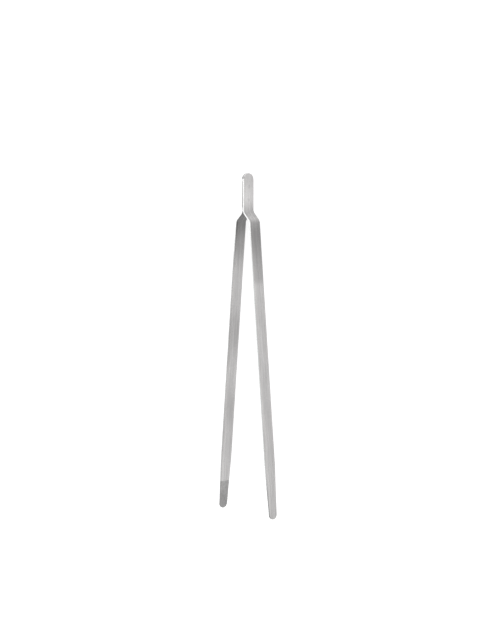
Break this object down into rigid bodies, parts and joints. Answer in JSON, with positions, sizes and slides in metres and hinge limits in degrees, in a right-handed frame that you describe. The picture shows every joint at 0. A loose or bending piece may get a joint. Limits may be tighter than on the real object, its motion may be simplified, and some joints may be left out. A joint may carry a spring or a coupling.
{
  "type": "stamp tongs",
  "caption": "Long flat-strip stamp tongs: bent spring-steel blades welded face to face at a rounded head, with splayed arms and finely serrated inner tips that squeeze shut.",
  "frame": {"origin": "middle of the bottom: halfway between the blades, halfway along the tongs, on the surface they lie on", "axes": "+Y along the tongs towards the welded head, +X the way the right arm opens, +Z across the strips"},
  "size_m": [0.034, 0.155, 0.006],
  "materials": {
    "blade_steel": "lengthwise brushed stainless spring steel",
    "weld_metal": "fused steel, hidden between the blades"
  },
  "bodies": {
    "head": {"left_blade_head": "blade_steel", "right_blade_head": "blade_steel", "spot_welds": "weld_metal"},
    "left_arm": {"left_blade_arm": "blade_steel"},
    "right_arm": {"right_blade_arm": "blade_steel"}
  },
  "joints": [
    {"name": "left_flex", "type": "hinge", "parent": "head", "child": "left_arm", "pos_m": [-0.00566, 0.0385, 0.003], "axis": [0, 0, 1], "range_deg": [0, 7.95], "stiffness_Nm_per_rad": 0.92},
    {"name": "right_flex", "type": "hinge", "parent": "head", "child": "right_arm", "pos_m": [0.00566, 0.0385, 0.003], "axis": [0, 0, -1], "range_deg": [0, 7.95], "stiffness_Nm_per_rad": 0.92}
  ]
}
